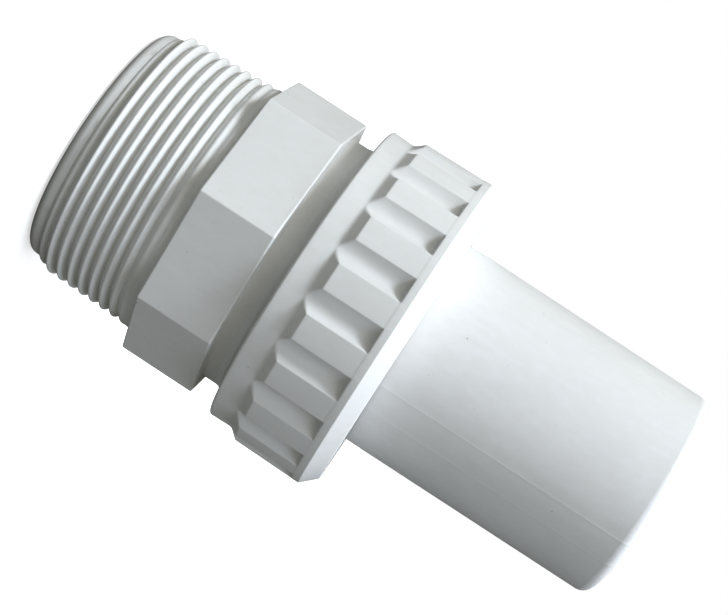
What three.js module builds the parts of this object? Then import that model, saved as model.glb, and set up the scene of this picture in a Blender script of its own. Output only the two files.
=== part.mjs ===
// Pipe union in rigid white plastic: a male taper-threaded end and a plain 40 mm spigot, drawn
// together by a ribbed union nut over a face seal ring.
// Millimetres, +Z up: the threaded end stands on z = 0 and the spigot points up.

import * as THREE from 'three';
import { ParametricGeometry } from 'three/addons/geometries/ParametricGeometry.js';
import { mergeVertices } from 'three/addons/utils/BufferGeometryUtils.js';

const TURN = 2 * Math.PI;
const { clamp, degToRad } = THREE.MathUtils;

// ---- Driving dimensions -------------------------------------------------------------------

const OVERALL_LENGTH = 113.8;
const FACE_GAP = 0.3;              // clearance between faces that touch when the union is made up
const WATERWAY_RADIUS = 17;        // 34 mm bore through both halves
const EDGE_CHAMFER = 0.5;          // on turned edges, unless a piece states its own

const TAPER_THREAD = {             // 1 1/2 inch nominal, 11.5 threads to the inch, taper 1 in 16
  pitch: 25.4 / 11.5,
  start: 2.7,
  fullFrom: 4.2,
  washoutFrom: 18.4,
  end: 21.8,
  crestRadius: 23.92,              // of the crest cone where it meets z = 0
  taper: 1 / 32,
  depth: 1.45,
  phase: 0.393,                    // turns: where the ridge stands on the +X side
  ridge: { crest: 0.1, foot: 0.42 }, // half widths, in pitches
};

const NOSE_ROUNDING = 1.6;

const OCTAGON = { bottom: 23.1, top: 37.55, acrossFlats: 51.7 };
const COLLAR = { radius: 24.4, top: 40.7 };

const UNION_THREAD = {             // coarse right-hand thread between the threaded end and the nut
  pitch: 4,
  phase: 0.2,
  minorRadius: 24.5,
  depth: 1.7,
  clearance: 0.28,                 // radial, male to female
  ridge: { crest: 0.11, foot: 0.34 },
  fade: 1.5,                       // length over which the ridge grows or dies out
};
const MALE_UNION = { start: 41, end: 54.4 };
const FEMALE_UNION = { start: 43.1, end: 55.6, topFade: 0.9 };

const SEAL_FACE = 56.1;            // height of the threaded end's top face
const SEAL_GROOVE = { inner: 18.9, outer: 22.9, depth: 2.8 };
const SEAL_RING = { width: 3.6, height: 2.6, lift: 0.2, sides: 10 };

const FLANGE = { radius: 24.2, thickness: 3.7, chamfer: 0.4 };
const SPIGOT = { radius: 20, endRadius: 19.8, rounding: 1.4, boreChamfer: 0.3 };

const NUT = {
  bottom: 42.3,
  top: 64.4,
  skirtRadius: 29.45,
  skirtRounding: 1.1,
  boreRadius: 20.5,
  boreChamfer: 0.6,
  rimRadius: 30.85,
  rimBottom: 60.1,
  rimTop: 61.75,
  endRadius: 28.3,                 // where the 45 degree chamfer meets the end face
};
const RIBS = {
  count: 20,
  bottom: 46.8,
  fullFrom: 48.6,
  radius: { low: 30.5, high: 30.8 },
  pocket: { low: 29, high: 28.9 },
  halfTop: degToRad(4.7),
  halfFoot: degToRad(7.5),
  clocking: degToRad(5.14),        // centre of the first rib, from +X
};

const BODY_SLICES = 40;            // facets round the turned pieces; an odd multiple of eight

// ---- Shape helpers ------------------------------------------------------------------------

const ramp = (value, from, to) => clamp((value - from) / (to - from), 0, 1);

/** Quarter-round corner: points from the start angle to the end angle, both in degrees. */
function corner(centreRadius, centreZ, radius, fromDegrees, toDegrees, steps = 3) {
  return Array.from({ length: steps + 1 }, (_, step) => {
    const angle = degToRad(fromDegrees + ((toDegrees - fromDegrees) * step) / steps);
    return [centreRadius + radius * Math.cos(angle), centreZ + radius * Math.sin(angle)];
  });
}

/**
 * Points of a right-hand thread's outline in the half-plane at an angle: foot, crest, crest and
 * foot of each ridge from `start` to `end`. Ends are clamped, so every half-plane has the same
 * number of points, and one full turn shifts them by one ridge.
 */
function threadOutline({ pitch, phase, ridge }, { start, end }, angle, radiusAt) {
  const form = [[-ridge.foot, 0], [-ridge.crest, 1], [ridge.crest, 1], [ridge.foot, 0]];
  const first = Math.floor(start / pitch - phase) - 1;
  const last = Math.ceil(end / pitch - phase);
  const outline = [];
  for (let turn = first; turn <= last; turn += 1) {
    for (const [offset, height] of form) {
      const z = clamp((turn + phase + angle / TURN + offset) * pitch, start, end);
      outline.push([radiusAt(z, height), z]);
    }
  }
  return outline;
}

/**
 * Evenly spaced angles for one full turn, first and last being the same half-plane. They start
 * half a step past +X, so that with 40 slices one falls on each corner of the octagon.
 */
function evenAngles(slices) {
  const step = TURN / slices;
  return Array.from({ length: slices + 1 }, (_, slice) => (slice + 0.5) * step);
}

function dropEmptyTriangles(geometry) {
  const index = geometry.index.array;
  const kept = [];
  for (let i = 0; i < index.length; i += 3) {
    const [a, b, c] = index.slice(i, i + 3);
    if (a !== b && b !== c && c !== a) kept.push(a, b, c);
  }
  geometry.setIndex(kept);
  return geometry;
}

/**
 * Closed solid swept round the Z axis. `section(angle)` gives the closed outline [radius, z] in
 * that half-plane: up the outside, in across the top, down the bore and out across the bottom.
 */
function sweep(section, angles) {
  const outlines = angles.map(section);
  const slices = angles.length - 1;
  const points = outlines[0].length;
  const place = (u, v, target) => {
    const slice = Math.round(u * slices);
    const [radius, z] = outlines[slice][Math.round(v * points) % points];
    target.set(radius * Math.cos(angles[slice]), radius * Math.sin(angles[slice]), z);
  };
  const surface = new ParametricGeometry(place, slices, points);
  surface.deleteAttribute('normal');
  surface.deleteAttribute('uv');
  const solid = dropEmptyTriangles(mergeVertices(surface));
  solid.computeVertexNormals();
  return solid;
}

// ---- Threaded end: nose, taper thread, octagon, collar, union thread and seal face ------------

const taperCrest = (z) => TAPER_THREAD.crestRadius + z * TAPER_THREAD.taper;

function taperRadius(z, height) {
  const { start, fullFrom, washoutFrom, end, depth } = TAPER_THREAD;
  const ridge = taperCrest(z) - depth * (1 - ramp(z, start, fullFrom));
  const root = taperCrest(z) - depth * (1 - ramp(z, washoutFrom, end));
  return height ? ridge : root;
}

function maleUnionRadius(z, height) {
  const { minorRadius, depth, fade } = UNION_THREAD;
  const { start, end } = MALE_UNION;
  return minorRadius + height * depth * ramp(z, start, start + fade) * ramp(end - z, 0, fade);
}

/** Distance from the axis to an octagon face, with flats towards +X and +Y. */
function octagonRadius(angle, apothem) {
  const eighth = TURN / 8;
  const fromFlat = angle - Math.round(angle / eighth) * eighth;
  return apothem / Math.cos(fromFlat);
}

function threadedEndSection(angle) {
  const noseRadius = taperRadius(TAPER_THREAD.start, 0);
  const apothem = OCTAGON.acrossFlats / 2;
  const face = octagonRadius(angle, apothem);
  const faceEdge = octagonRadius(angle, apothem - EDGE_CHAMFER);
  const grooveFloor = SEAL_FACE - SEAL_GROOVE.depth;
  const { minorRadius } = UNION_THREAD;
  return [
    ...corner(noseRadius - NOSE_ROUNDING, NOSE_ROUNDING, NOSE_ROUNDING, -90, 0),
    ...threadOutline(TAPER_THREAD, TAPER_THREAD, angle, taperRadius),
    [taperCrest(TAPER_THREAD.end), OCTAGON.bottom],
    [faceEdge, OCTAGON.bottom],
    [face, OCTAGON.bottom + EDGE_CHAMFER],
    [face, OCTAGON.top - EDGE_CHAMFER],
    [faceEdge, OCTAGON.top],
    [COLLAR.radius, OCTAGON.top],
    [COLLAR.radius, COLLAR.top],
    ...threadOutline(UNION_THREAD, MALE_UNION, angle, maleUnionRadius),
    [minorRadius, SEAL_FACE - EDGE_CHAMFER],
    [minorRadius - EDGE_CHAMFER, SEAL_FACE],
    [SEAL_GROOVE.outer, SEAL_FACE],
    [SEAL_GROOVE.outer, grooveFloor],
    [SEAL_GROOVE.inner, grooveFloor],
    [SEAL_GROOVE.inner, SEAL_FACE],
    [WATERWAY_RADIUS, SEAL_FACE],
    [WATERWAY_RADIUS, EDGE_CHAMFER],
    [WATERWAY_RADIUS + EDGE_CHAMFER, 0],
  ];
}

// ---- Union nut: skirt, twenty grip ribs, rim, chamfer, shoulder and internal thread ----------

function femaleUnionRadius(z, height) {
  const { minorRadius, depth, clearance, fade } = UNION_THREAD;
  const { start, end, topFade } = FEMALE_UNION;
  const crest = 1 - ramp(z, start, start + fade);
  const root = ramp(end - z, 0, topFade);
  return minorRadius + clearance + depth * (height ? crest : root);
}

/** 1 on a rib's top, 0 on a pocket's floor, and a straight flank between. */
function ribRise(angle) {
  const spacing = TURN / RIBS.count;
  const fromFirst = angle - RIBS.clocking;
  const fromCentre = Math.abs(fromFirst - Math.round(fromFirst / spacing) * spacing);
  return ramp(-fromCentre, -RIBS.halfFoot, -RIBS.halfTop);
}

function ribAngles() {
  const edges = [-RIBS.halfFoot, -RIBS.halfTop, RIBS.halfTop, RIBS.halfFoot];
  const angles = [];
  for (let rib = 0; rib < RIBS.count; rib += 1) {
    const centre = RIBS.clocking + (TURN * rib) / RIBS.count;
    angles.push(...edges.map((edge) => centre + edge));
  }
  return [...angles, angles[0] + TURN];
}

function unionNutSection(angle) {
  const rise = ribRise(angle);
  const low = THREE.MathUtils.lerp(RIBS.pocket.low, RIBS.radius.low, rise);
  const high = THREE.MathUtils.lerp(RIBS.pocket.high, RIBS.radius.high, rise);
  const shoulder = SEAL_FACE + FACE_GAP + FLANGE.thickness + FACE_GAP;
  // The nut's ridges lie midway between the ridges of the threaded end.
  const female = { ...UNION_THREAD, phase: UNION_THREAD.phase + 1 / 2 };
  const minor = UNION_THREAD.minorRadius + UNION_THREAD.clearance;
  const major = minor + UNION_THREAD.depth;
  const inside = threadOutline(female, FEMALE_UNION, angle, femaleUnionRadius).reverse();
  return [
    ...corner(NUT.skirtRadius - NUT.skirtRounding, NUT.bottom + NUT.skirtRounding,
      NUT.skirtRounding, -90, 0, 2),
    [NUT.skirtRadius, RIBS.bottom],
    [low, RIBS.fullFrom],
    [high, NUT.rimBottom],
    [NUT.rimRadius, NUT.rimBottom],
    [NUT.rimRadius, NUT.rimTop],
    [NUT.endRadius, NUT.top],
    [NUT.boreRadius, NUT.top],
    [NUT.boreRadius, shoulder + NUT.boreChamfer],
    [NUT.boreRadius + NUT.boreChamfer, shoulder],
    [minor, shoulder],
    ...inside,
    [major + EDGE_CHAMFER, NUT.bottom],
  ];
}

// ---- Tailpiece: flange held in the nut, and the plain spigot ---------------------------------

function tailpieceSection() {
  const flangeBottom = SEAL_FACE + FACE_GAP;
  const flangeTop = flangeBottom + FLANGE.thickness;
  const { radius, endRadius, rounding, boreChamfer } = SPIGOT;
  return [
    [FLANGE.radius - FLANGE.chamfer, flangeBottom],
    [FLANGE.radius, flangeBottom + FLANGE.chamfer],
    [FLANGE.radius, flangeTop - FLANGE.chamfer],
    [FLANGE.radius - FLANGE.chamfer, flangeTop],
    [radius + FLANGE.chamfer, flangeTop],
    [radius, flangeTop + FLANGE.chamfer],
    [radius, NUT.top],
    ...corner(endRadius - rounding, OVERALL_LENGTH - rounding, rounding, 0, 90),
    [WATERWAY_RADIUS + boreChamfer, OVERALL_LENGTH],
    [WATERWAY_RADIUS, OVERALL_LENGTH - boreChamfer],
    [WATERWAY_RADIUS, flangeBottom],
  ];
}

// ---- Face seal ring: a rubber ring pressed oval in its groove ---------------------------------

function sealRingSection() {
  const centreRadius = (SEAL_GROOVE.inner + SEAL_GROOVE.outer) / 2;
  const centreZ = SEAL_FACE - SEAL_GROOVE.depth + SEAL_RING.lift + SEAL_RING.height / 2;
  return Array.from({ length: SEAL_RING.sides }, (_, side) => {
    const angle = (TURN * side) / SEAL_RING.sides;
    return [
      centreRadius + (SEAL_RING.width / 2) * Math.cos(angle),
      centreZ + (SEAL_RING.height / 2) * Math.sin(angle),
    ];
  });
}

// ---- Assembly ---------------------------------------------------------------------------------

function plastic(color) {
  return new THREE.MeshStandardMaterial({ color, roughness: 0.5, metalness: 0 });
}

function piece(name, geometry, material) {
  const mesh = new THREE.Mesh(geometry, material);
  mesh.name = name;
  return mesh;
}

const rubber = new THREE.MeshStandardMaterial({ color: 0x1b1b1c, roughness: 0.85, metalness: 0 });
const round = evenAngles(BODY_SLICES);

const pipeUnion = new THREE.Group();
pipeUnion.add(
  piece('threaded_end', sweep(threadedEndSection, round), plastic(0xdfe3e4)),
  piece('seal_ring', sweep(sealRingSection, round), rubber),
  piece('tailpiece', sweep(tailpieceSection, round), plastic(0xe6eaec)),
  piece('union_nut', sweep(unionNutSection, ribAngles()), plastic(0xe2e6e8)),
);

export default pipeUnion;
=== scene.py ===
import math

import bmesh
import bpy
import numpy as np
from mathutils import Matrix, Vector


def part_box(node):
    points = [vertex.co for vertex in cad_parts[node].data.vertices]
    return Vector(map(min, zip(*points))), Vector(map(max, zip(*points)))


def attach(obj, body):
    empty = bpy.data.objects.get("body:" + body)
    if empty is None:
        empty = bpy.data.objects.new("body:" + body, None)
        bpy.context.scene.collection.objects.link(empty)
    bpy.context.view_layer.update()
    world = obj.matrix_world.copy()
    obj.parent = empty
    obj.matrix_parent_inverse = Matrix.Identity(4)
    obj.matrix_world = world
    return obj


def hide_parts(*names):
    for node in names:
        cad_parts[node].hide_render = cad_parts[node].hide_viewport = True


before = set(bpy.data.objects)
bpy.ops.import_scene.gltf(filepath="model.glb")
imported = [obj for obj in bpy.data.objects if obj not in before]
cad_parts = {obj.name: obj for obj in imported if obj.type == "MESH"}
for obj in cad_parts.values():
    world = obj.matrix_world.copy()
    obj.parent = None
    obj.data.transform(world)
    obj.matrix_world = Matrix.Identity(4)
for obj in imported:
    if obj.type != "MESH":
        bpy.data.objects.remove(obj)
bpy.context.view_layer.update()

# ---- Sizes, in millimetres unless they say otherwise ---------------------------------------------

MM = 0.001
TURN = 2 * math.pi

ENDS = {node: (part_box(node)[0].z / MM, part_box(node)[1].z / MM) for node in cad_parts}
SEAL_FACE = ENDS["threaded_end"][1]
NUT_BOTTOM, NUT_TOP = ENDS["union_nut"]
FLANGE_BOTTOM, SPIGOT_TOP = ENDS["tailpiece"]
SEAL_BOTTOM, SEAL_TOP = ENDS["seal_ring"]

WATERWAY = 17.0                # radius of the bore through both halves
FINE_EDGE = 0.1                # roundings of edges and inner corners, where a piece states no other
SMALL_EDGE = 0.3
WIDE_EDGE = 0.5

TAPER = {                      # 1 1/2 inch taper thread, 11.5 threads to the inch; phase in turns
    "pitch": 25.4 / 11.5, "phase": 0.393,
    "start": 2.4, "full_from": 4.3, "washout_from": 18.4, "end": 21.8,
    "crest": 23.92, "slope": 1 / 32, "depth": 1.45, "plain_after": 0.1,
}
UNION = {                      # coarse thread between the threaded end and the nut
    "pitch": 4.0, "phase": 0.2, "minor": 24.5, "depth": 1.7, "clearance": 0.28, "fade": 1.5,
    "male_start": 41.0, "male_end": 54.4,
    "female_start": 43.1, "female_end": 55.6, "female_fade": 0.9, "plain_after": 0.2,
}
NOSE = {"rounding": 1.6, "bore_chamfer": 0.5}
OCTAGON = {"bottom": 23.1, "top": 37.55, "apothem": 25.85, "edge": 0.35}
COLLAR = {"radius": 24.4, "top": 40.4, "thread_root_from": 40.7}
GROOVE = {"inner": 18.9, "outer": 22.9, "depth": 2.8, "lip": 0.15}
FLANGE = {"radius": 24.2, "thickness": 3.7, "edge": 0.35, "root": 0.4, "bore_edge": 0.2}
SPIGOT = {"radius": 20.0, "end_radius": 19.8, "taper_knee": 0.01, "rounding": 2.1}
DRAW_LINES = {                 # faint raised lines along the spigot
    "at": [math.radians(-38.0), math.radians(-22.3)], "height": 0.04, "half_width": 0.18,
}
SEAL_RING = {"half_width": 1.8, "squareness": 0.9, "points": 40}

NUT = {
    "mouth": 0.5, "skirt": 29.28, "skirt_rounding": 0.5, "skirt_from": 43.5,
    "skirt_waist": 29.18, "waist_at": 46.6,
    "rim": 30.85, "rim_wall": 60.1, "wall_run": 0.1, "wall_slope": 12, "rim_from": 61.2,
    "rim_top": 61.75, "rim_edge": 0.25, "end": 28.3,
    "bore": 20.5, "bore_chamfer": 0.6, "shoulder": 60.4, "shoulder_corner": 0.4,
}
RIBS = {
    "count": 20, "clocking": math.radians(5.14), "half_top": 2.45,
    "low": 30.68, "high": 30.83, "top_from": 48.6, "floor": 28.95,
    "ramp_slope": 0.85, "scoop_lift": 0.06, "scoop_bow": 2.0,
}
KNEES = {                      # how softly the nut's outer surfaces run into each other
    "ramp_top": 0.06, "ramp_foot": 0.14, "scoop_edge": 0.04, "wall_foot": 0.03, "wall_top": 0.02,
}
RIB_SPACING = TURN / RIBS["count"]
HALF_SCOOP = RIB_SPACING * RIBS["low"] / 2 - RIBS["half_top"]   # half the gap between two ribs

# Heights of the nut's rows of vertices, closest together where the ribs begin and end.
NUT_LEVELS = [
    *[RIBS["top_from"] + step for step in (
        -5.0, -3.8, -2.8, -2.4, -2.1, -1.9, -1.7, -1.5, -1.2, -0.8, -0.5, -0.3, -0.15, -0.05,
        0.05, 0.15, 0.3, 0.8, 1.9, 3.9, 6.4, 8.9)],
    *[NUT["rim_wall"] + step for step in (-0.9, -0.35, -0.15, -0.05, 0, 0.05, 0.15, 0.4, 0.9)],
]

SLICES = {"threaded_end": 200, "tailpiece": 180, "seal_ring": 160}   # steps round the axis
SCOOP_STEPS = 10               # steps from a scoop's middle line to the edge of a rib
SAME_POINT = 0.001             # vertices nearer to each other than this are merged
NO_LENGTH = 0.0001             # edges and faces smaller than this are removed
FACE_WEIGHT = 60               # above 50, large faces count for more in the shading


# ---- Outlines in the half-plane: lists of (radius, z) --------------------------------------------

def clamp(value, low=0.0, high=1.0):
    return max(low, min(high, value))


def rounded(points, steps=5):
    """A polyline whose corners (radius, z, rounding) are turned into arcs of that rounding."""
    outline = []
    for i, point in enumerate(points):
        size = point[2] if len(point) > 2 else 0
        if not size or i in (0, len(points) - 1):
            outline.append(point[:2])
            continue
        here = Vector(point[:2])
        back = (Vector(points[i - 1][:2]) - here).normalized()
        ahead = (Vector(points[i + 1][:2]) - here).normalized()
        half = back.angle(ahead) / 2
        centre = here + (back + ahead).normalized() * (size / math.sin(half))
        first = here + back * (size / math.tan(half)) - centre
        last = here + ahead * (size / math.tan(half)) - centre
        sweep_angle = first.angle_signed(last)
        for step in range(steps + 1):
            turned = first.copy()
            turned.rotate(Matrix.Rotation(-sweep_angle * step / steps, 2))
            outline.append(tuple(centre + turned))
    return outline


def helix(pitch, phase, form, start, end, angle, radius_at):
    """One half-plane of a right-hand thread. Each ridge is tracked by the points of `form`, which
    are (offset in pitches, height 0 to 1). One full turn shifts the outline by one ridge."""
    first = math.floor(start / pitch - phase) - 1
    last = math.ceil(end / pitch - phase)
    outline = []
    for turn in range(first, last + 1):
        for offset, height in form:
            z = clamp((turn + phase + angle / TURN + offset) * pitch, start, end)
            outline.append((radius_at(z, height), z))
    return outline


def bell_form(power, points):
    """Tracked points of a ridge shaped like a bell, with a rounded crest and a tighter root."""
    offsets = np.linspace(-0.5, 0.5, points + 1)[:-1]
    return [(offset, math.cos(math.pi * offset) ** power) for offset in offsets]


def ridge_form(crest, foot, soft, points):
    """Tracked points of a ridge with rounded crest and root; widths are half widths in pitches."""
    offsets = np.linspace(-0.5, 0.5, points + 1)[:-1]
    edge = (crest + foot) / 2
    run = foot - crest
    overrun = 0.4        # how far past the flank's ends the curve bends, in lengths of its run
    flank = np.clip((edge - np.abs(offsets)) / run + 0.5, -overrun, 1 + overrun)
    heights = 1 / (1 + np.exp(-(flank - 0.5) * soft))
    heights = (heights - heights.min()) / (heights.max() - heights.min())
    return list(zip(offsets, heights))


TAPER_FORM = bell_form(power=1.5, points=20)
UNION_FORM = ridge_form(crest=0.12, foot=0.34, soft=9.0, points=12)


def taper_radius(z, height):
    crest = TAPER["crest"] + TAPER["slope"] * z
    grown = clamp((z - TAPER["start"]) / (TAPER["full_from"] - TAPER["start"]))
    left = clamp((TAPER["end"] - z) / (TAPER["end"] - TAPER["washout_from"]))
    ridge = crest - TAPER["depth"] * (1 - grown)
    root = crest - TAPER["depth"] * left
    return root + (ridge - root) * height


def male_union_radius(z, height):
    up = clamp((z - UNION["male_start"]) / UNION["fade"])
    down = clamp((UNION["male_end"] - z) / UNION["fade"])
    return UNION["minor"] + height * UNION["depth"] * up * down


def female_union_radius(z, height):
    grown = clamp((z - UNION["female_start"]) / UNION["fade"])
    left = clamp((UNION["female_end"] - z) / UNION["female_fade"])
    crest, root = 1 - grown, left
    return UNION["minor"] + UNION["clearance"] + UNION["depth"] * (root + (crest - root) * height)


# ---- Swept meshes --------------------------------------------------------------------------------

def swept(name, section, angles):
    """A closed mesh from one outline per angle; the last angle repeats the first half-plane."""
    rings = np.array([section(angle) for angle in angles])
    slices, points = rings.shape[0] - 1, rings.shape[1]
    turn = np.array(angles)[:, None]
    radius, z = rings[..., 0], rings[..., 1]
    vertices = np.stack([radius * np.cos(turn), radius * np.sin(turn), z], axis=-1) * MM
    near = np.arange(slices)[:, None] * points
    row = np.arange(points)[None, :]
    after = (row + 1) % points
    faces = np.stack([near + row, near + points + row, near + points + after, near + after], -1)
    mesh = bpy.data.meshes.new(name)
    mesh.from_pydata(vertices.reshape(-1, 3).tolist(), [], faces.reshape(-1, 4).tolist())
    shape = bmesh.new()
    shape.from_mesh(mesh)
    bmesh.ops.remove_doubles(shape, verts=shape.verts, dist=SAME_POINT * MM)
    bmesh.ops.dissolve_degenerate(shape, edges=shape.edges, dist=NO_LENGTH * MM)
    bmesh.ops.recalc_face_normals(shape, faces=shape.faces)
    shape.to_mesh(mesh)
    shape.free()
    mesh.shade_smooth()
    piece = bpy.data.objects.new(name, mesh)
    bpy.context.scene.collection.objects.link(piece)
    piece.modifiers.new("even_normals", "WEIGHTED_NORMAL").weight = FACE_WEIGHT
    return piece


def full_turn(angles):
    """Sorted angles of one turn, closed by repeating the first one a turn later."""
    ordered = sorted(set(round(angle % TURN, 6) for angle in angles))
    return ordered + [ordered[0] + TURN]


def even(count):
    return [TURN * i / count for i in range(count)]


# ---- Threaded end --------------------------------------------------------------------------------

def octagon_radius(angle, apothem, edge):
    """Distance from the axis to an octagon side with rounded corners, flats towards X and Y."""
    eighth = TURN / 8
    from_corner = abs((angle % eighth) - eighth / 2)
    reach = (apothem - edge) / math.cos(eighth / 2)
    tangent = math.atan2(edge * math.sin(eighth / 2), reach + edge * math.cos(eighth / 2))
    if from_corner < tangent:
        across = reach * math.sin(from_corner)
        return reach * math.cos(from_corner) + math.sqrt(edge**2 - across**2)
    return apothem / math.cos(eighth / 2 - from_corner)


def threaded_end_section(angle):
    nose = taper_radius(TAPER["start"], 0)
    neck = taper_radius(TAPER["end"], 0)
    side = octagon_radius(angle, OCTAGON["apothem"], OCTAGON["edge"])
    floor = SEAL_FACE - GROOVE["depth"]
    chamfer = NOSE["bore_chamfer"]
    return [
        *rounded([(WATERWAY + chamfer, 0), (nose, 0, NOSE["rounding"]), (nose, TAPER["start"])],
                 steps=8),
        *helix(TAPER["pitch"], TAPER["phase"], TAPER_FORM, TAPER["start"], TAPER["end"],
               angle, taper_radius),
        *rounded([
            (neck, TAPER["end"] + TAPER["plain_after"]), (neck, OCTAGON["bottom"], WIDE_EDGE),
            (side, OCTAGON["bottom"], OCTAGON["edge"]), (side, OCTAGON["top"], OCTAGON["edge"]),
            (COLLAR["radius"], OCTAGON["top"], WIDE_EDGE),
            (COLLAR["radius"], COLLAR["top"], FINE_EDGE),
            (UNION["minor"], COLLAR["thread_root_from"]),
        ]),
        *helix(UNION["pitch"], UNION["phase"], UNION_FORM, UNION["male_start"],
               UNION["male_end"], angle, male_union_radius),
        *rounded([
            (UNION["minor"], UNION["male_end"] + UNION["plain_after"]),
            (UNION["minor"], SEAL_FACE, WIDE_EDGE),
            (GROOVE["outer"], SEAL_FACE, GROOVE["lip"]), (GROOVE["outer"], floor, SMALL_EDGE),
            (GROOVE["inner"], floor, SMALL_EDGE), (GROOVE["inner"], SEAL_FACE, GROOVE["lip"]),
            (WATERWAY, SEAL_FACE, SMALL_EDGE), (WATERWAY, chamfer, FINE_EDGE),
            (WATERWAY + chamfer, 0),
        ])[:-1],
    ]


def make_threaded_end():
    """The half-planes are evenly spaced, with more of them close to the octagon's corners."""
    eighth = TURN / 8
    close = [math.radians(degrees) for degrees in (-0.8, -0.45, -0.2, 0, 0.2, 0.45, 0.8)]
    corners = [eighth * (i + 0.5) + offset for i in range(8) for offset in close]
    angles = even(SLICES["threaded_end"]) + corners
    return swept("threaded_end_body", threaded_end_section, full_turn(angles))


# ---- Union nut -----------------------------------------------------------------------------------

def soft_ramp(distance, softness):
    """0 below zero and the distance above it, with a rounded knee."""
    return max(distance, 0) + softness * math.log1p(math.exp(-abs(distance) / softness))


def soft_max(a, b, softness):
    return b + soft_ramp(a - b, softness)


def soft_min(a, b, softness):
    return -soft_max(-a, -b, softness)


def scooped(top, floor, across):
    """Height of a scoop between two ribs, `across` from its middle line: a bowed floor that
    rises ever more steeply to the edges of the ribs."""
    return floor + (top - floor) * (across / HALF_SCOOP) ** RIBS["scoop_bow"]


def nut_outer_radius(angle, z):
    """The nut's outside at this angle and height: skirt, ribs with ramps at their feet, scoops
    between the ribs and the wall under the rim, each running softly into the next."""
    from_first = angle - RIBS["clocking"]
    from_centre = abs(from_first - round(from_first / RIB_SPACING) * RIB_SPACING)
    from_scoop = (RIB_SPACING / 2 - from_centre) * RIBS["low"]
    down = clamp((z - NUT_BOTTOM) / (NUT["waist_at"] - NUT_BOTTOM))
    share = (z - RIBS["top_from"]) / (NUT["rim_wall"] - RIBS["top_from"])
    floor = NUT["skirt"] + (NUT["skirt_waist"] - NUT["skirt"]) * down
    floor += (RIBS["floor"] - NUT["skirt_waist"]) * clamp(share)
    top = RIBS["low"] + (RIBS["high"] - RIBS["low"]) * share
    ramp = top - RIBS["ramp_slope"] * soft_ramp(RIBS["top_from"] - z, KNEES["ramp_top"])
    rib = soft_max(floor, ramp, KNEES["ramp_foot"])
    scoop = scooped(top, floor + RIBS["scoop_lift"], from_scoop)
    grip = soft_min(scoop, rib, KNEES["scoop_edge"])
    below_rim = NUT["rim_wall"] + NUT["wall_run"] - z
    rim = NUT["rim"] - NUT["wall_slope"] * soft_ramp(below_rim, KNEES["wall_top"])
    return soft_max(grip, rim, KNEES["wall_foot"])


def union_nut_section(angle):
    skirt = nut_outer_radius(angle, NUT_BOTTOM)
    skirt_from = NUT["skirt_from"]
    midway = UNION["phase"] + 0.5     # the nut's ridges lie between those of the threaded end
    minor = UNION["minor"] + UNION["clearance"]
    major = minor + UNION["depth"]
    return [
        *rounded([(major + NUT["mouth"], NUT_BOTTOM), (skirt, NUT_BOTTOM, NUT["skirt_rounding"]),
                  (nut_outer_radius(angle, skirt_from), skirt_from)], steps=7),
        *[(nut_outer_radius(angle, z), z) for z in NUT_LEVELS],
        *rounded([
            (NUT["rim"], NUT["rim_from"]), (NUT["rim"], NUT["rim_top"], NUT["rim_edge"]),
            (NUT["end"], NUT_TOP, SMALL_EDGE), (NUT["bore"], NUT_TOP, SMALL_EDGE),
            (NUT["bore"], NUT["shoulder"] + NUT["bore_chamfer"], FINE_EDGE),
            (NUT["bore"] + NUT["bore_chamfer"], NUT["shoulder"], FINE_EDGE),
            (minor, NUT["shoulder"], NUT["shoulder_corner"]),
            (minor, UNION["female_end"] + UNION["plain_after"]),
        ]),
        *helix(UNION["pitch"], midway, UNION_FORM, UNION["female_start"],
               UNION["female_end"], angle, female_union_radius)[::-1],
    ]


def make_union_nut():
    """The half-planes are closest together at the edges of the ribs."""
    half_top = RIBS["half_top"] / RIBS["low"]
    half_scoop = HALF_SCOOP / RIBS["low"]
    over_rib = [half_top * share for share in (0, 0.4, 0.8, 0.95, 0.985)]
    over_scoop = [
        RIB_SPACING / 2 - half_scoop * math.sin(TURN / 4 * step / SCOOP_STEPS)
        for step in range(SCOOP_STEPS + 1)
    ]
    angles = [
        RIBS["clocking"] + RIB_SPACING * rib + side * offset
        for rib in range(RIBS["count"]) for side in (-1, 1) for offset in over_rib + over_scoop
    ]
    return swept("union_nut_body", union_nut_section, full_turn(angles))


# ---- Tailpiece -----------------------------------------------------------------------------------

def draw_line_height(angle):
    """How far the spigot's faint raised lines stand out at this angle."""
    height = 0.0
    for at in DRAW_LINES["at"]:
        away = abs((angle - at + TURN / 2) % TURN - TURN / 2) * SPIGOT["radius"]
        height = max(height, DRAW_LINES["height"] * clamp(1 - away / DRAW_LINES["half_width"]))
    return height


def tailpiece_section(angle):
    line = draw_line_height(angle)
    side, end = SPIGOT["radius"] + line, SPIGOT["end_radius"] + line
    flange_top = FLANGE_BOTTOM + FLANGE["thickness"]
    seam = (WATERWAY + SMALL_EDGE, FLANGE_BOTTOM)
    return rounded([
        seam,
        (FLANGE["radius"], FLANGE_BOTTOM, FLANGE["edge"]),
        (FLANGE["radius"], flange_top, FLANGE["edge"]), (side, flange_top, FLANGE["root"]),
        (side, NUT_TOP, SPIGOT["taper_knee"]), (end, SPIGOT_TOP, SPIGOT["rounding"]),
        (WATERWAY, SPIGOT_TOP, SMALL_EDGE), (WATERWAY, FLANGE_BOTTOM, FLANGE["bore_edge"]),
        seam,
    ], steps=8)[:-1]


def make_tailpiece():
    """The half-planes are evenly spaced, with more of them over each draw line."""
    close = [math.radians(degrees) for degrees in (-0.46, -0.23, 0, 0.23, 0.46)]
    lines = [at + offset for at in DRAW_LINES["at"] for offset in close]
    angles = even(SLICES["tailpiece"]) + lines
    return swept("tailpiece_body", tailpiece_section, full_turn(angles))


# ---- Seal ring -----------------------------------------------------------------------------------

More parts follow.
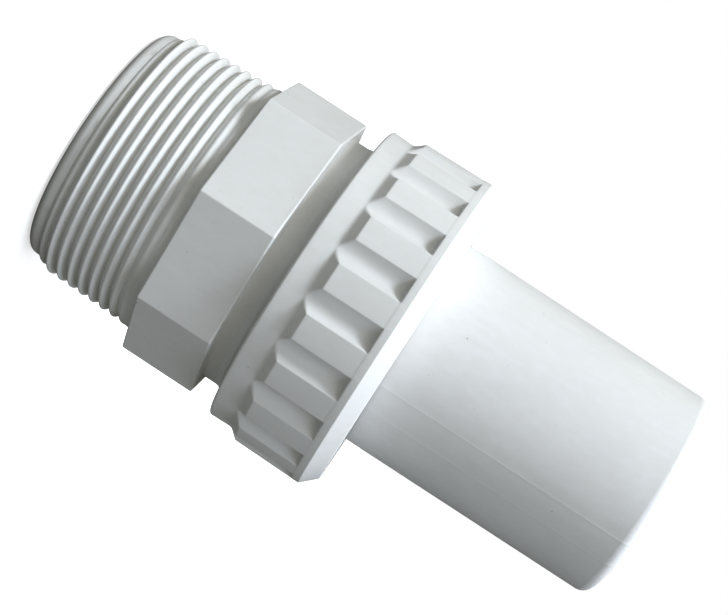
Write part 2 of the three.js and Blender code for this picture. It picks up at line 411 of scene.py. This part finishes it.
def seal_ring_section(_angle):
    """An oval with slightly flattened sides, as if pressed; the same all the way round."""
    middle = (GROOVE["inner"] + GROOVE["outer"]) / 2
    height = (SEAL_BOTTOM + SEAL_TOP) / 2
    half_height = (SEAL_TOP - SEAL_BOTTOM) / 2
    outline = []
    for side in even(SEAL_RING["points"]):
        bulge = math.copysign(abs(math.cos(side)) ** SEAL_RING["squareness"], math.cos(side))
        radius = middle + SEAL_RING["half_width"] * bulge
        outline.append((radius, height + half_height * math.sin(side)))
    return outline


def make_seal_ring():
    return swept("seal_ring_body", seal_ring_section, full_turn(even(SLICES["seal_ring"])))


# ---- Materials -----------------------------------------------------------------------------------

SCATTER = 0.06                             # share of the light that scatters in the plastic
SCATTER_REACH = (0.0012, 0.0011, 0.0010)   # red, green and blue, in units of the shader's scale
CLOUD_SHADE = 0.955                        # the plastic's tint is multiplied by this in clouds
HANDLED_SHADE = (0.90, 0.891, 0.864)       # and by this where hands have marked it
GRIT = (0.30, 0.29, 0.26)                  # colour of the specks
SMOOTHER, ROUGHER = -0.05, 0.06            # how far the plastic's roughness wanders
DUST_FREE, DUSTY = (0.012, 0.012, 0.013), (0.035, 0.034, 0.033)   # colours of the rubber
DULL, DULLEST = 0.55, 0.8                  # roughness of the rubber


class Surface:
    """A material with a Principled shader, and short ways to add the nodes that feed it. Noise is
    laid out in the piece's own space, in metres, so its scale is in cells for each metre."""

    def __init__(self, name):
        self.material = bpy.data.materials.new(name)
        self.material.use_nodes = True
        self.nodes = self.material.node_tree.nodes
        self.links = self.material.node_tree.links
        self.shader = self.nodes["Principled BSDF"]
        self.place = self.nodes.new("ShaderNodeTexCoord").outputs["Object"]

    def noise(self, scale, detail, stretch=None):
        texture = self.nodes.new("ShaderNodeTexNoise")
        texture.inputs["Scale"].default_value = scale
        texture.inputs["Detail"].default_value = detail
        place = self.place
        if stretch:
            mapping = self.nodes.new("ShaderNodeMapping")
            mapping.inputs["Scale"].default_value = stretch
            self.links.new(place, mapping.inputs["Vector"])
            place = mapping.outputs["Vector"]
        self.links.new(place, texture.inputs["Vector"])
        return texture.outputs["Fac"]

    def between(self, factor, low, high, start=0.3, stop=0.7):
        """Runs from low to high while the factor runs from start to stop."""
        spread = self.nodes.new("ShaderNodeMapRange")
        spread.inputs["From Min"].default_value = start
        spread.inputs["From Max"].default_value = stop
        spread.inputs["To Min"].default_value = low
        spread.inputs["To Max"].default_value = high
        self.links.new(factor, spread.inputs["Value"])
        return spread.outputs["Result"]

    def mixed(self, factor, first, second):
        """A colour from first to second; each is a tuple or another node's output."""
        mix = self.nodes.new("ShaderNodeMix")
        mix.data_type = "RGBA"
        self.links.new(factor, mix.inputs["Factor"])
        for socket, colour in (("A", first), ("B", second)):
            target = [s for s in mix.inputs if s.name == socket and s.type == "RGBA"][0]
            if isinstance(colour, tuple):
                target.default_value = (*colour, 1)
            else:
                self.links.new(colour, target)
        return [s for s in mix.outputs if s.type == "RGBA"][0]

    def bump(self, height, strength, depth, under=None):
        """A normal roughened by the height, `depth` millimetres deep, over another normal."""
        bump = self.nodes.new("ShaderNodeBump")
        bump.inputs["Strength"].default_value = strength
        bump.inputs["Distance"].default_value = depth * MM
        self.links.new(height, bump.inputs["Height"])
        if under:
            self.links.new(under, bump.inputs["Normal"])
        return bump.outputs["Normal"]

    def feed(self, colour, roughness, normal):
        self.links.new(colour, self.shader.inputs["Base Color"])
        self.links.new(roughness, self.shader.inputs["Roughness"])
        self.links.new(normal, self.shader.inputs["Normal"])


def moulded_plastic(name, tint, roughness, grain):
    """White moulded plastic: cloudy tone, faint handling marks, a few dark specks of grit, and a
    satin skin with a fine grain."""
    surface = Surface(name)
    shader = surface.shader
    shader.inputs["Subsurface Weight"].default_value = SCATTER
    shader.inputs["Subsurface Radius"].default_value = SCATTER_REACH
    shader.inputs["IOR"].default_value = 1.5

    darker = tuple(value * CLOUD_SHADE for value in tint)
    handled = tuple(value * shade for value, shade in zip(tint, HANDLED_SHADE))
    clouds = surface.between(surface.noise(scale=90, detail=4), 0, 1)
    marks = surface.between(surface.noise(scale=700, detail=6, stretch=(1, 1, 0.45)), 0, 0.45)
    specks = surface.between(surface.noise(scale=1300, detail=0), 0, 0.5, start=0.86, stop=0.92)
    colour = surface.mixed(clouds, darker, tint)
    colour = surface.mixed(marks, colour, handled)
    colour = surface.mixed(specks, colour, GRIT)

    satin = surface.between(surface.noise(scale=260, detail=3),
                            roughness + SMOOTHER, roughness + ROUGHER)
    fine = surface.bump(surface.noise(scale=3200, detail=3), strength=0.35, depth=grain)
    wavy = surface.bump(surface.noise(scale=240, detail=2), strength=0.25, depth=0.05, under=fine)
    surface.feed(colour, satin, wavy)
    return surface.material


def seal_rubber():
    """Black nitrile rubber: dusty bloom over a dull moulded skin."""
    surface = Surface("seal_rubber")
    dust = surface.noise(scale=900, detail=6)
    bloom = surface.between(dust, 0, 1, start=0.35, stop=0.75)
    colour = surface.mixed(bloom, DUST_FREE, DUSTY)
    dull = surface.between(dust, DULL, DULLEST, start=0, stop=1)
    surface.feed(colour, dull, surface.bump(dust, strength=0.3, depth=0.02))
    return surface.material


def put(piece, body, node, material):
    """The piece takes a CAD node's place, rides on its body and shows this material."""
    piece.data.materials.append(material)
    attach(piece, body)
    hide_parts(node)


put(make_threaded_end(), "threaded_end_body", "threaded_end",
    moulded_plastic("body_plastic", tint=(0.80, 0.81, 0.81), roughness=0.40, grain=0.010))
put(make_union_nut(), "union_nut_body", "union_nut",
    moulded_plastic("nut_plastic", tint=(0.81, 0.82, 0.82), roughness=0.48, grain=0.012))
put(make_tailpiece(), "tailpiece_body", "tailpiece",
    moulded_plastic("spigot_plastic", tint=(0.81, 0.82, 0.825), roughness=0.44, grain=0.010))
put(make_seal_ring(), "threaded_end_body", "seal_ring", seal_rubber())


# ---- Camera, held close to the union and rolled so that it lies across the picture ---------------

VIEW_ANGLE = math.radians(-62.8)        # direction of the camera round the union's axis
AIM_HEIGHT = 54.6 * MM
DISTANCE = 346.8 * MM
LOOK_DOWN = -0.0384                     # slope of the line of sight, down to the threaded end
SIDE_STEP = 0.85 * MM
ROLL = math.radians(33.18)
FOCAL_LENGTH = 98.35                    # millimetres

axis = Vector((0, 0, 1))
to_camera = Vector((math.cos(VIEW_ANGLE), math.sin(VIEW_ANGLE), 0))
across = axis.cross(to_camera)
forward = (axis * LOOK_DOWN - to_camera).normalized()
lateral = (across - forward * across.dot(forward)).normalized()
along = lateral.cross(forward)
right = along * math.cos(ROLL) - lateral * math.sin(ROLL)
up = -(along * math.sin(ROLL) + lateral * math.cos(ROLL))

camera = bpy.data.objects.new("camera", bpy.data.cameras.new("camera"))
camera.data.lens = FOCAL_LENGTH
camera.data.clip_start = 10 * MM
camera.matrix_world = Matrix((
    (right.x, up.x, -forward.x, 0), (right.y, up.y, -forward.y, 0),
    (right.z, up.z, -forward.z, 0), (0, 0, 0, 1),
))
camera.location = axis * AIM_HEIGHT - lateral * SIDE_STEP - forward * DISTANCE
bpy.context.scene.collection.objects.link(camera)
bpy.context.scene.camera = camera


# ---- Light: four soft lamps, and a warm sky that is brightest on the key lamp's side -------------

LAMP_DISTANCE = 1.5                     # metres, as are the lamps' sizes; their powers are watts


def from_axis(lean, turn):
    """Unit direction that leans from the union's axis towards this angle round from the camera,
    both in degrees."""
    lean, turn = math.radians(lean), math.radians(turn)
    round_axis = to_camera * math.cos(turn) + across * math.sin(turn)
    return axis * math.cos(lean) + round_axis * math.sin(lean)


def soft_lamp(name, direction, size, power, colour):
    """A square lamp in that direction from the union's middle, facing the middle."""
    lamp = bpy.data.objects.new(name, bpy.data.lights.new(name, "AREA"))
    lamp.data.size = size
    lamp.data.energy = power
    lamp.data.color = colour
    lamp.location = axis * AIM_HEIGHT + direction * LAMP_DISTANCE
    lamp.rotation_mode = "QUATERNION"
    lamp.rotation_quaternion = direction.to_track_quat("Z", "Y")
    bpy.context.scene.collection.objects.link(lamp)


KEY_DIRECTION = from_axis(lean=45, turn=-60)
soft_lamp("key", KEY_DIRECTION, size=0.40, power=19.2, colour=(0.86, 0.92, 1.0))
soft_lamp("fill", from_axis(lean=35, turn=5), size=1.0, power=7.5, colour=(0.68, 0.79, 1.0))
soft_lamp("back", from_axis(lean=12, turn=150), size=1.0, power=8, colour=(0.76, 0.85, 1.0))
soft_lamp("side", from_axis(lean=86, turn=-75), size=0.6, power=1.5, colour=(0.90, 0.94, 1.0))

# The sky is dark where the cosine of the angle from the key lamp is below this.
SKY = {"dark_below": -0.6, "brightest": 0.66, "colour": (1.0, 0.957, 0.80, 1)}
WHITE = (1, 1, 1, 1)


def make_sky():
    """The union sees a sky that fades away from the key side; the camera sees plain white."""
    world = bpy.data.worlds.new("studio")
    bpy.context.scene.world = world
    world.use_nodes = True
    nodes, links = world.node_tree.nodes, world.node_tree.links
    place = nodes.new("ShaderNodeTexCoord")
    towards = nodes.new("ShaderNodeVectorMath")
    towards.operation = "DOT_PRODUCT"
    towards.inputs[1].default_value = KEY_DIRECTION
    links.new(place.outputs["Generated"], towards.inputs[0])
    glow = nodes.new("ShaderNodeMapRange")
    glow.interpolation_type = "SMOOTHSTEP"
    glow.inputs["From Min"].default_value = SKY["dark_below"]
    glow.inputs["From Max"].default_value = 1.0
    glow.inputs["To Min"].default_value = 0.0
    glow.inputs["To Max"].default_value = SKY["brightest"]
    links.new(towards.outputs["Value"], glow.inputs["Value"])
    sky = nodes["Background"]
    sky.inputs["Color"].default_value = SKY["colour"]
    links.new(glow.outputs["Result"], sky.inputs["Strength"])
    white = nodes.new("ShaderNodeBackground")
    white.inputs["Color"].default_value = WHITE
    seen = nodes.new("ShaderNodeLightPath")
    choose = nodes.new("ShaderNodeMixShader")
    links.new(seen.outputs["Is Camera Ray"], choose.inputs["Fac"])
    links.new(sky.outputs["Background"], choose.inputs[1])
    links.new(white.outputs["Background"], choose.inputs[2])
    links.new(choose.outputs["Shader"], nodes["World Output"].inputs["Surface"])


FLOOR = {                      # lengths in metres
    "reach": 40.0, "height": -0.0003,
    "paper": (0.8, 0.8, 0.8, 1), "bounce": (0.15, 0.15, 0.14, 1),
    "glow_near": 0.60, "glow_far": 1.0, "fade_from": 0.05, "fade_to": 0.40,
}


def floor_square():
    reach, height = FLOOR["reach"], FLOOR["height"]
    corners = [(x * reach, y * reach, height) for x, y in ((-1, -1), (1, -1), (1, 1), (-1, 1))]
    mesh = bpy.data.meshes.new("floor")
    mesh.from_pydata(corners, [], [(0, 1, 2, 3)])
    return mesh


def floor_paper():
    """The camera sees glowing white paper, whitest far away; the union gets only a dim bounce."""
    material = bpy.data.materials.new("paper")
    material.use_nodes = True
    nodes, links = material.node_tree.nodes, material.node_tree.links
    paper = nodes["Principled BSDF"]
    paper.inputs["Roughness"].default_value = 0.9
    paper.inputs["Specular IOR Level"].default_value = 0.0
    paper.inputs["Base Color"].default_value = FLOOR["paper"]
    paper.inputs["Emission Color"].default_value = WHITE
    place = nodes.new("ShaderNodeTexCoord")
    away = nodes.new("ShaderNodeVectorMath")
    away.operation = "LENGTH"
    links.new(place.outputs["Object"], away.inputs[0])
    fade = nodes.new("ShaderNodeMapRange")
    fade.inputs["From Min"].default_value = FLOOR["fade_from"]
    fade.inputs["From Max"].default_value = FLOOR["fade_to"]
    fade.inputs["To Min"].default_value = FLOOR["glow_near"]
    fade.inputs["To Max"].default_value = FLOOR["glow_far"]
    links.new(away.outputs["Value"], fade.inputs["Value"])
    links.new(fade.outputs["Result"], paper.inputs["Emission Strength"])
    dim = nodes.new("ShaderNodeBsdfDiffuse")
    dim.inputs["Color"].default_value = FLOOR["bounce"]
    path = nodes.new("ShaderNodeLightPath")
    mix = nodes.new("ShaderNodeMixShader")
    links.new(path.outputs["Is Camera Ray"], mix.inputs["Fac"])
    links.new(dim.outputs["BSDF"], mix.inputs[1])
    links.new(paper.outputs["BSDF"], mix.inputs[2])
    links.new(mix.outputs["Shader"], nodes["Material Output"].inputs["Surface"])
    return material


def make_floor():
    floor = bpy.data.objects.new("floor", floor_square())
    bpy.context.scene.collection.objects.link(floor)
    floor.data.materials.append(floor_paper())


make_sky()
make_floor()
bpy.context.scene.view_settings.view_transform = "Standard"
